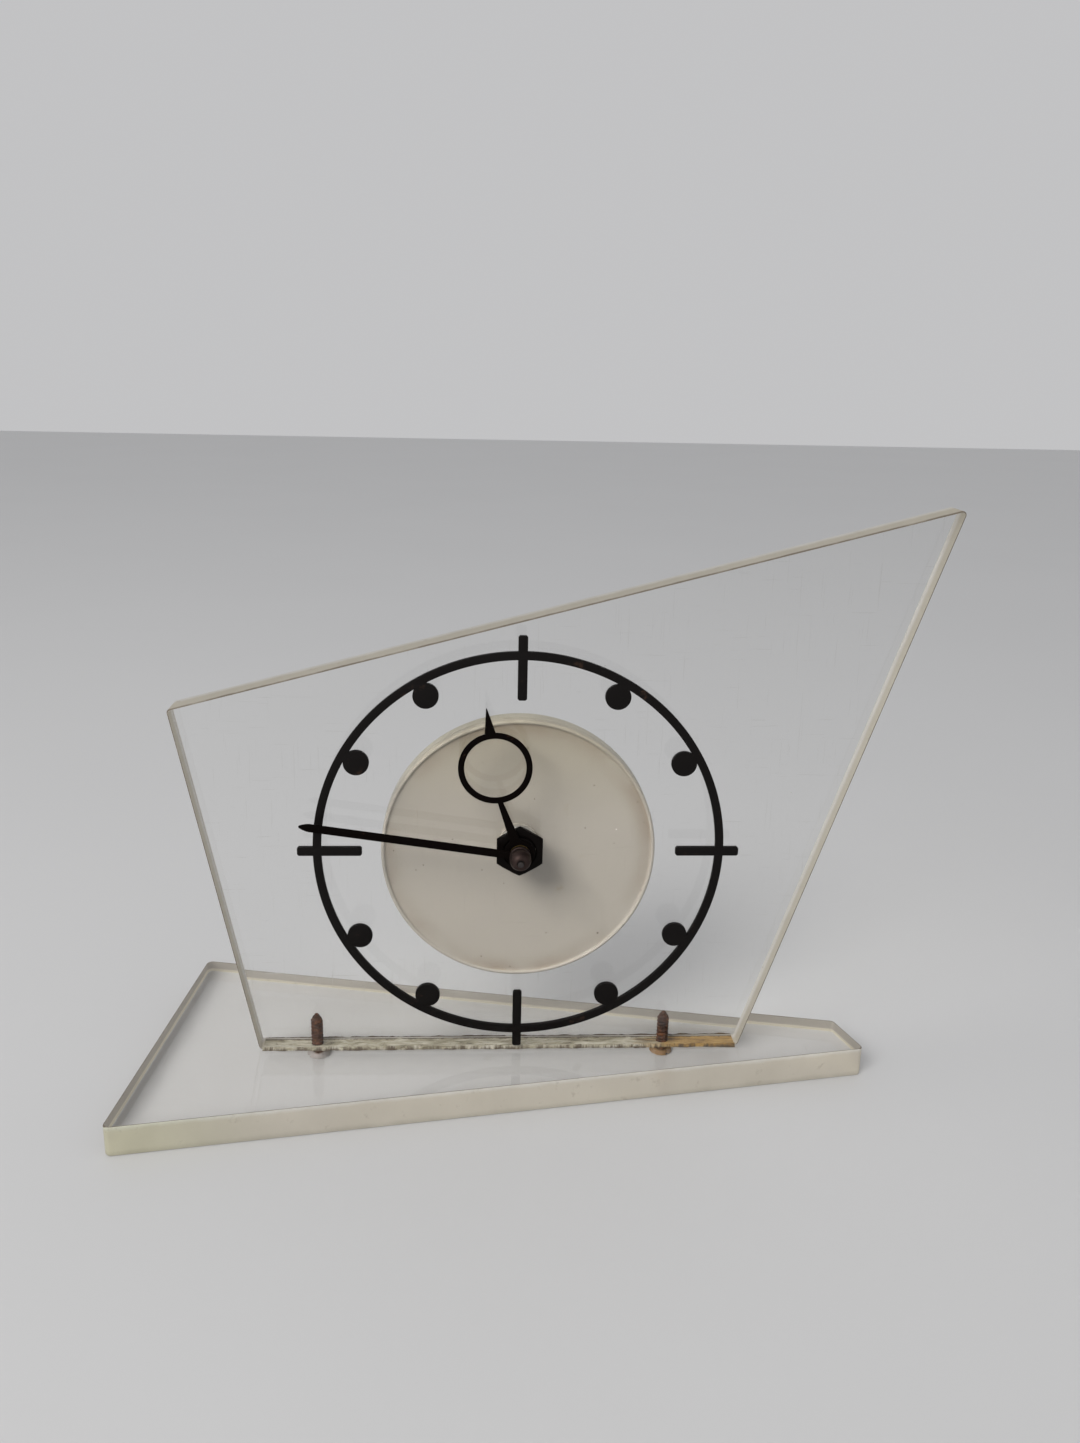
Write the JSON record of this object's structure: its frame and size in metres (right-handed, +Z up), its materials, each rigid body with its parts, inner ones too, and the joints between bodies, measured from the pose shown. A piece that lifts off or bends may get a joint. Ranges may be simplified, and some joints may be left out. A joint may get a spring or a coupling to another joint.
{
  "type": "mantel clock",
  "caption": "Free-standing mantel clock: a slanting clear acrylic panel on a clear acrylic base, with a cut-out chapter ring, two hands and a round wind-up movement behind.",
  "frame": {"origin": "on the underside of the base, straight below the dial's centre and in line with the panel's front face", "axes": "+Z up; the dial faces -Y; +X is to the right as the dial is read"},
  "size_m": [0.2566, 0.1035, 0.1908],
  "materials": {
    "acrylic": "clear cast acrylic with sawn, matt edges",
    "glue": "aged, yellowed cement",
    "rusty_steel": "rusted",
    "black_paint": "satin black, slightly worn to brown",
    "worn_cap": "tarnished dark brown",
    "ivory_paint": "ivory enamel, satin, slightly soiled",
    "brass": "brushed",
    "steel": "brushed",
    "blued_steel": "tempered blue"
  },
  "bodies": {
    "stand": {"acrylic_base": "acrylic", "glue_line": "glue", "base_screw_left": "rusty_steel", "base_screw_right": "rusty_steel", "acrylic_panel": "acrylic", "chapter_ring": "black_paint", "centre_bush": "black_paint", "front_nut": "black_paint", "rear_washer": "ivory_paint", "case_front": "ivory_paint", "case_shell": "ivory_paint", "front_plate": "brass", "rear_plate": "brass", "pillar_1": "brass", "pillar_2": "brass", "pillar_3": "brass", "plate_nut_1": "steel", "plate_nut_2": "steel", "plate_nut_3": "steel", "case_screw_1": "steel", "case_screw_2": "steel", "case_screw_3": "steel", "motion_stud": "steel", "click_stud": "steel", "hairspring": "blued_steel", "hairspring_stud": "brass"},
    "centre_spindle": {"centre_arbor": "steel", "cannon_pinion": "brass", "minute_hand": "black_paint", "hand_cap": "worn_cap", "setting_knob": "brass"},
    "hour_spindle": {"hour_wheel": "brass", "hour_hand": "black_paint"},
    "motion_gear": {"motion_wheel": "brass", "motion_pinion": "steel"},
    "fourth_spindle": {"fourth_pinion": "steel", "fourth_wheel": "brass"},
    "third_spindle": {"third_pinion": "steel", "third_wheel": "brass"},
    "centre_gear": {"centre_pinion": "steel", "centre_wheel": "brass", "clutch_spring": "steel"},
    "barrel": {"barrel_drum": "brass", "barrel_cover": "brass", "mainspring": "blued_steel"},
    "escape_spindle": {"escape_pinion": "steel", "escape_wheel": "brass"},
    "pallets": {"pallet_arbor": "steel", "pallet_lever": "steel"},
    "balance": {"balance_staff": "steel", "balance_wheel": "brass"},
    "winder": {"barrel_arbor": "steel", "ratchet_wheel": "steel", "winding_key": "brass"},
    "ratchet_click": {"click": "steel"},
    "regulator_arm": {"regulator": "steel"}
  },
  "joints": [
    {"name": "hand_setting", "type": "hinge", "parent": "stand", "child": "centre_spindle", "pos_m": [0, 0.025, 0.0818], "axis": [0, 1, 0], "continuous": true},
    {"name": "hour_hand_turn", "type": "hinge", "parent": "stand", "child": "hour_spindle", "pos_m": [0, 0.025, 0.0818], "axis": [0, 1, 0], "continuous": true},
    {"name": "motion_gear_turn", "type": "hinge", "parent": "stand", "child": "motion_gear", "pos_m": [0.00848, 0.025, 0.07332], "axis": [0, 1, 0], "continuous": true},
    {"name": "fourth_wheel_turn", "type": "hinge", "parent": "stand", "child": "fourth_spindle", "pos_m": [0.01069, 0.025, 0.09772], "axis": [0, 1, 0], "continuous": true},
    {"name": "third_wheel_turn", "type": "hinge", "parent": "stand", "child": "third_spindle", "pos_m": [0.01269, 0.025, 0.08642], "axis": [0, 1, 0], "continuous": true},
    {"name": "centre_wheel_turn", "type": "hinge", "parent": "stand", "child": "centre_gear", "pos_m": [0, 0.025, 0.0818], "axis": [0, 1, 0], "continuous": true},
    {"name": "barrel_turn", "type": "hinge", "parent": "stand", "child": "barrel", "pos_m": [-0.00852, 0.025, 0.06964], "axis": [0, 1, 0], "continuous": true},
    {"name": "escape_wheel_turn", "type": "hinge", "parent": "stand", "child": "escape_spindle", "pos_m": [0.00112, 0.025, 0.09941], "axis": [0, 1, 0], "continuous": true},
    {"name": "pallet_rock", "type": "hinge", "parent": "stand", "child": "pallets", "pos_m": [-0.00608, 0.025, 0.09941], "axis": [0, 1, 0], "range_deg": [-3, 3]},
    {"name": "balance_swing", "type": "hinge", "parent": "stand", "child": "balance", "pos_m": [-0.01529, 0.025, 0.09605], "axis": [0, 1, 0], "range_deg": [-135, 135]},
    {"name": "winding", "type": "hinge", "parent": "stand", "child": "winder", "pos_m": [-0.00852, 0.025, 0.06964], "axis": [0, 1, 0], "range_deg": [0, 1440]},
    {"name": "click_lift", "type": "hinge", "parent": "stand", "child": "ratchet_click", "pos_m": [0.00094, 0.025, 0.0713], "axis": [0, 1, 0], "range_deg": [-10, 0]},
    {"name": "regulator_set", "type": "hinge", "parent": "stand", "child": "regulator_arm", "pos_m": [-0.01529, 0.025, 0.09605], "axis": [0, 1, 0], "range_deg": [-12, 12]}
  ],
  "couplings": [
    {"joint": "hour_hand_turn", "follows": "hand_setting", "ratio": 0.083333},
    {"joint": "motion_gear_turn", "follows": "hand_setting", "ratio": -0.33333},
    {"joint": "third_wheel_turn", "follows": "fourth_wheel_turn", "ratio": -0.13333},
    {"joint": "centre_wheel_turn", "follows": "fourth_wheel_turn", "ratio": 0.016667},
    {"joint": "barrel_turn", "follows": "fourth_wheel_turn", "ratio": -0.0020833},
    {"joint": "escape_wheel_turn", "follows": "fourth_wheel_turn", "ratio": -8}
  ]
}
